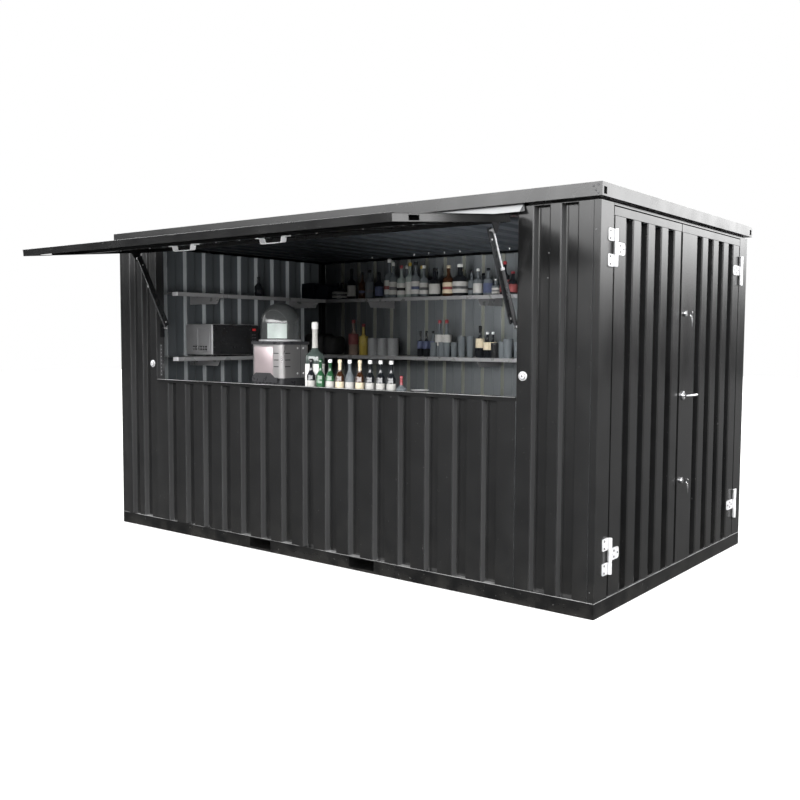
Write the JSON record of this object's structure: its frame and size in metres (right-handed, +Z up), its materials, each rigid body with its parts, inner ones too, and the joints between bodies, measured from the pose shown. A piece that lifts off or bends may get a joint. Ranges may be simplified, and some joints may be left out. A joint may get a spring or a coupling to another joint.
{
  "type": "container bar",
  "caption": "Flat-roofed sheet-steel serving cabin with a lifting flap over its long front opening, double end doors and shelves inside.",
  "frame": {"origin": "centre of the base's underside, on the ground", "axes": "+X along the long front towards the doors, +Y from the serving front to the back wall, +Z up"},
  "size_m": [4.071, 3.3732, 2.22],
  "materials": {
    "anthracite": "semi-gloss anthracite powder coat",
    "roof_paint": "semi-gloss grey paint",
    "zinc": "bright zinc plate",
    "pale_flashing": "pale grey coated sheet",
    "black_metal": "satin black paint",
    "floor_board": "film-faced plywood",
    "inner_paint": "satin grey paint",
    "bottle_glass": "bottle glass, dark or clear",
    "appliance_steel": "satin steel case",
    "smoked_dome": "smoked clear plastic"
  },
  "bodies": {
    "cabin": {"back_shelves": "inner_paint", "back_wall": "anthracite", "base_back": "anthracite", "base_ends": "anthracite", "base_front": "anthracite", "corner_posts": "anthracite", "counter": "inner_paint", "counter_bottles": "bottle_glass", "counter_brackets": "inner_paint", "dispenser_body": "appliance_steel", "dispenser_dome": "smoked_dome", "door_head": "anthracite", "door_stops": "inner_paint", "flap_flashing": "pale_flashing", "flap_hinge_fixed": "zinc", "flap_locks": "zinc", "floor_board": "floor_board", "floor_joists": "inner_paint", "fork_tunnels": "anthracite", "front_header": "anthracite", "front_panel_left": "anthracite", "front_panel_right": "anthracite", "front_wall": "anthracite", "hinge_posts": "zinc", "left_shelves": "inner_paint", "left_wall": "anthracite", "microwave": "appliance_steel", "roof_fascia": "roof_paint", "roof_frame": "roof_paint", "roof_sheet": "roof_paint", "serving_sill": "anthracite", "shelf_brackets": "inner_paint", "strut_jamb_mounts": "black_metal"},
    "flap": {"flap_skin": "anthracite", "flap_rim": "anthracite", "flap_rail": "anthracite", "flap_handles": "zinc", "flap_hinge_moving": "zinc", "strut_flap_mounts": "black_metal"},
    "strut_tube_left": {"strut_tube_left": "black_metal"},
    "strut_tube_right": {"strut_tube_right": "black_metal"},
    "strut_rod_left": {"strut_rod_left": "zinc", "strut_guard_left": "black_metal"},
    "strut_rod_right": {"strut_rod_right": "zinc", "strut_guard_right": "black_metal"},
    "door_left": {"door_left_leaf": "anthracite", "door_left_rails": "anthracite", "hinge_leaves_left": "zinc"},
    "door_right": {"door_right_leaf": "anthracite", "door_right_rails": "anthracite", "hinge_leaves_right": "zinc", "door_locks": "zinc"},
    "lever": {"door_lever": "zinc"}
  },
  "joints": [
    {"name": "flap_hinge", "type": "hinge", "parent": "cabin", "child": "flap", "pos_m": [0, -1.19, 2.094], "axis": [1, 0, 0], "range_deg": [0, 84.4]},
    {"name": "strut_swing_left", "type": "hinge", "parent": "cabin", "child": "strut_tube_left", "pos_m": [-1.51, -1.09, 1.505], "axis": [1, 0, 0], "range_deg": [-23.8, 0]},
    {"name": "strut_slide_left", "type": "slide", "parent": "strut_tube_left", "child": "strut_rod_left", "axis": [0, -0.4363, 0.8998], "range_m": [-0.111, 0]},
    {"name": "strut_swing_right", "type": "hinge", "parent": "cabin", "child": "strut_tube_right", "pos_m": [1.49, -1.09, 1.505], "axis": [1, 0, 0], "range_deg": [-23.8, 0]},
    {"name": "strut_slide_right", "type": "slide", "parent": "strut_tube_right", "child": "strut_rod_right", "axis": [0, -0.4363, 0.8998], "range_m": [-0.111, 0]},
    {"name": "door_left_hinge", "type": "hinge", "parent": "cabin", "child": "door_left", "pos_m": [2.014, -0.9875, 0], "axis": [0, 0, -1], "range_deg": [0, 170]},
    {"name": "door_right_hinge", "type": "hinge", "parent": "cabin", "child": "door_right", "pos_m": [2.014, 0.9875, 0], "axis": [0, 0, 1], "range_deg": [0, 170]},
    {"name": "lever_turn", "type": "hinge", "parent": "door_right", "child": "lever", "pos_m": [2, 0.012, 1.103], "axis": [-1, 0, 0], "range_deg": [0, 40], "stiffness_Nm_per_rad": 2, "springref_deg": -14.32}
  ],
  "couplings": [
    {"joint": "strut_swing_left", "follows": "flap_hinge", "ratio": -0.2755},
    {"joint": "strut_slide_left", "follows": "flap_hinge", "m_per_rad": -0.0741},
    {"joint": "strut_swing_right", "follows": "flap_hinge", "ratio": -0.2755},
    {"joint": "strut_slide_right", "follows": "flap_hinge", "m_per_rad": -0.0741}
  ]
}
